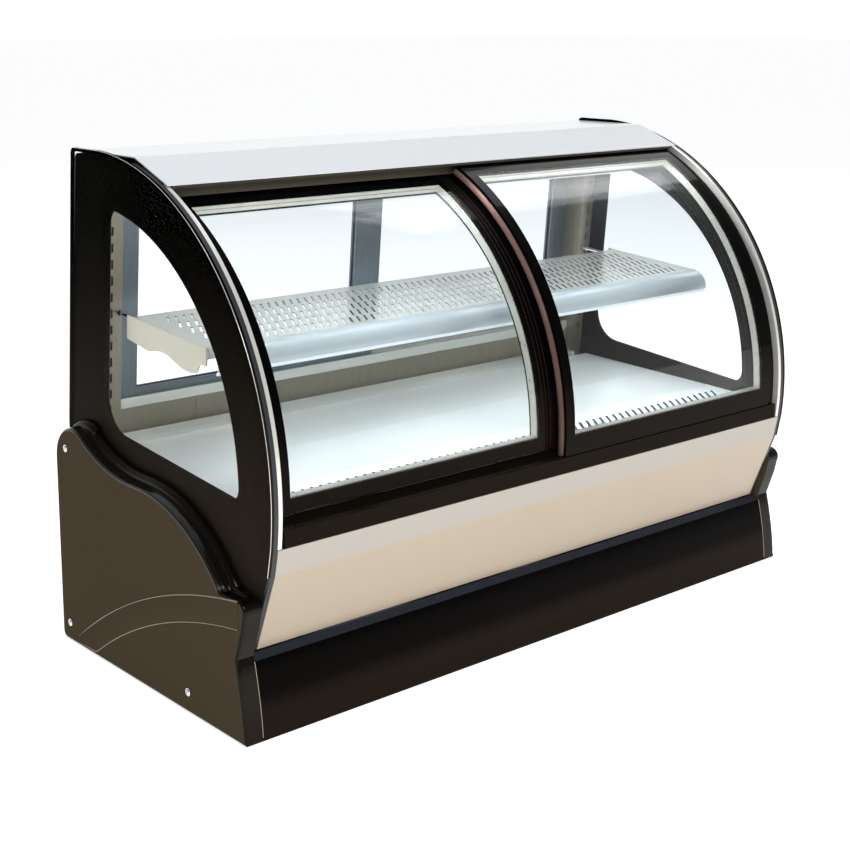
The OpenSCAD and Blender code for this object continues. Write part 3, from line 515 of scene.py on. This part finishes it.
def cap_sweep(side, word):
    """Shallow raised sweep across the cap's face, between its two arcs, with tan painted highlights
    along its edges.
    """
    bm = bmesh.new()
    rows = []
    for i in range(SWEEP_STEPS + 1):
        y = SWEEP_Y[0] + (SWEEP_Y[1] - SWEEP_Y[0]) * i / SWEEP_STEPS
        low = max(on_circle(SWEEP_INNER, y), 0.004)
        top = max(on_circle(SWEEP_OUTER, y), low + 0.002)
        rise = SWEEP_RISE * min(1.0, 0.15 + 2.5 * i / SWEEP_STEPS)
        rows.append([bm.verts.new((side * (CAP_OUT + rise * h), y + SHIFT, top + (low - top) * f))
                     for f, h in SWEEP_SECTION])
    for a, b in zip(rows, rows[1:]):
        for k in range(len(a) - 1):
            face = bm.faces.new((a[k], a[k + 1], b[k + 1], b[k]))
            # the listed rows get the painted highlight
            face.material_index = int(k in SWEEP_HIGHLIGHT_ROWS)
        bm.faces.new((a[-1], a[0], b[0], b[-1]))
    bm.faces.new(rows[0])
    bm.faces.new(rows[-1])
    bmesh.ops.recalc_face_normals(bm, faces=bm.faces)
    mats = [M["dark_brown_gloss"], SWEEP_PAINTED_HIGHLIGHT]
    finish_mesh(word + "_cap_sweep", bm, mats, "case", 50)


for side, word in ((-1, "left"), (1, "right")):
    end_cap(side, word)
    cap_sweep(side, word)

# ---------------------------------------------------------------- edges of the side glass

GLASS_IN, GLASS_OUT = 0.46995, 0.47405   # x of the blacked edge's two sides
GLASS_PROUD = 0.00005
GLASS_EDGE_W = 0.0047
CORNER_X = 0.4739
BEAD_W, BEAD_H = 0.0004, 0.0003          # half axes of the thin bright lines: the painted highlight on the glass corner, and the cap seam
SEAM_TOP = 0.094


def strip(name, path, section, mat):
    """Closed strip along a path of (y, z) points; section is (x, outwards) points."""
    bm = bmesh.new()
    rings = []
    for i, p in enumerate(path):
        a, b = path[max(i - 1, 0)], path[min(i + 1, len(path) - 1)]
        t = Vector((b[0] - a[0], b[1] - a[1])).normalized()
        rings.append([bm.verts.new((x, p[0] - n * t.y + SHIFT, p[1] + n * t.x))
                      for x, n in section])
    count = len(section)
    for a, b in zip(rings, rings[1:]):
        for k in range(count):
            bm.faces.new((a[k], a[(k + 1) % count], b[(k + 1) % count], b[k]))
    bm.faces.new(rings[0])
    bm.faces.new(rings[-1])
    bmesh.ops.recalc_face_normals(bm, faces=bm.faces)
    return finish_mesh(name, bm, [mat], "case")


def panel_rim():
    """Outline of a side panel from the foot of its curve, over the top and down its rear edge."""
    pts = [(-0.2350, 0.2040), (-0.2417, 0.2370)]
    pts += arc((0.136, 0.287), 0.381, 187.0, 92, 95)
    pts += arc((0.1832, 0.660), 0.008, 90, -5, 8)
    return pts + [(0.2250, 0.300), (0.2250, 0.262)]


def side_edges(side, word):
    """Blacked edge of the side glass, with a thin bright strip painted as the highlight of its
    corner.
    """
    x0, x1 = side * GLASS_IN, side * GLASS_OUT
    section = [(x0, GLASS_PROUD), (x1, GLASS_PROUD), (x1, -GLASS_EDGE_W), (x0, -GLASS_EDGE_W)]
    strip(word + "_glass_edge", panel_rim(), section, M["print_black"])
    angles = [math.radians(a) for a in range(0, 360, 45)]
    ring = [(side * (CORNER_X + BEAD_W * math.cos(a)), -0.0001 + BEAD_H * math.sin(a))
            for a in angles]
    # painted highlight: a thin bright strip along the outer corner of the glass edge
    strip(word + "_glass_corner_painted_highlight", panel_rim(), ring, M["bright_trim"])


def cap_seam(side, word):
    """Light edge of the fascia where it meets the cap."""
    path = [(cap_front(SEAM_TOP * i / 20) - 0.0002, SEAM_TOP * i / 20) for i in range(1, 21)]
    angles = [math.radians(a) for a in range(0, 360, 60)]
    ring = [(side * CORNER_X + BEAD_W * math.cos(a), BEAD_H * math.sin(a)) for a in angles]
    strip(word + "_cap_seam", path, ring, M["champagne"])


for side, word in ((-1, "left"), (1, "right")):
    side_edges(side, word)
    cap_seam(side, word)

# ---------------------------------------------------------------- stage and light


FLOOR_SIZE = 60
FLOOR_GLOW = 0.66


def make_stage():
    """Large pale floor just below the feet."""
    mesh = bpy.data.meshes.new("floor")
    bm = bmesh.new()
    bmesh.ops.create_grid(bm, x_segments=1, y_segments=1, size=FLOOR_SIZE)
    bm.to_mesh(mesh)
    bm.free()
    floor = bpy.data.objects.new("floor", mesh)
    floor.location = (0, 0, -0.0005)
    bpy.context.scene.collection.objects.link(floor)
    mesh.materials.append(mottled("floor", (246, 246, 246), (250, 250, 250), 0.9, 1.0,
                                  Emission_Color=(1, 1, 1, 1), Emission_Strength=FLOOR_GLOW))


def area_light(name, at, to, size, power, colour=(1, 1, 1), seen=True):
    """Soft rectangular light at one point, aimed at another, seen in reflections or not."""
    data = bpy.data.lights.new(name, "AREA")
    data.shape = "RECTANGLE"
    data.size, data.size_y = size
    data.energy = power
    data.color = colour
    lamp = bpy.data.objects.new(name, data)
    aim = (Vector(at) - Vector(to)).to_track_quat("Z", "Y")
    lamp.matrix_world = Matrix.Translation(at) @ aim.to_matrix().to_4x4()
    lamp.visible_glossy = seen
    lamp.visible_camera = seen
    bpy.context.scene.collection.objects.link(lamp)


WORLD_WHITE = 1.03
# direction that is white, the range of its dot product that fades, and the dim end
WORLD_FADES = (((0.61, 0.73, 0.0), (-0.1, 0.55), 0.42), ((0.0, 0.0, -1.0), (-0.5, -0.03), 0.45))


def make_world():
    """Soft studio: a white backdrop behind the case, dimmer in front of it and overhead."""
    world = bpy.data.worlds.new("studio")
    world.use_nodes = True
    tree = world.node_tree
    coord = tree.nodes.new("ShaderNodeTexCoord")
    strength = None
    for axis, ends, dim in WORLD_FADES:
        dot = tree.nodes.new("ShaderNodeVectorMath")
        dot.operation = "DOT_PRODUCT"
        dot.inputs[1].default_value = axis
        tree.links.new(coord.outputs["Generated"], dot.inputs[0])
        fade = tree.nodes.new("ShaderNodeMapRange")
        fade.interpolation_type = "SMOOTHSTEP"
        fade.inputs["From Min"].default_value = ends[0]
        fade.inputs["From Max"].default_value = ends[1]
        fade.inputs["To Min"].default_value = dim
        fade.inputs["To Max"].default_value = WORLD_WHITE
        tree.links.new(dot.outputs["Value"], fade.inputs["Value"])
        if strength is None:
            strength = fade.outputs["Result"]
        else:
            both = tree.nodes.new("ShaderNodeMath")
            both.operation = "MULTIPLY"
            tree.links.new(strength, both.inputs[0])
            tree.links.new(fade.outputs["Result"], both.inputs[1])
            strength = both.outputs["Value"]
    tree.links.new(strength, tree.nodes["Background"].inputs["Strength"])
    tree.nodes["Background"].inputs["Color"].default_value = (0.97, 0.985, 1.0, 1)
    bpy.context.scene.world = world


LAMP_COLOUR = (0.95, 0.98, 1.0)


def make_light():
    """The world, a key light, the case's own two lamps and two soft fills."""
    scene = bpy.context.scene
    scene.view_settings.view_transform = "Standard"
    scene.cycles.transparent_max_bounces = 40
    make_world()
    area_light("key", (-1.2, -2.8, 2.6), (0, 0, 0.3), (1.4, 1.4), 70)
    area_light("top_lamp", (0, -0.085, 0.628), (0, -0.085, 0), (0.84, 0.012), 1.7,
               LAMP_COLOUR, False)
    area_light("shelf_lamp", (0, -0.09, 0.405), (0, -0.05, 0), (0.84, 0.01), 0.7,
               LAMP_COLOUR, False)
    area_light("over", (0.4, 0.6, 3.2), (0, 0, 0.3), (2.4, 1.4), 32, seen=False)
    area_light("right_box", (2.95, 0.75, 3.2), (0.3, 0, 0.5), (1.3, 1.6), 17)


make_stage()
make_light()
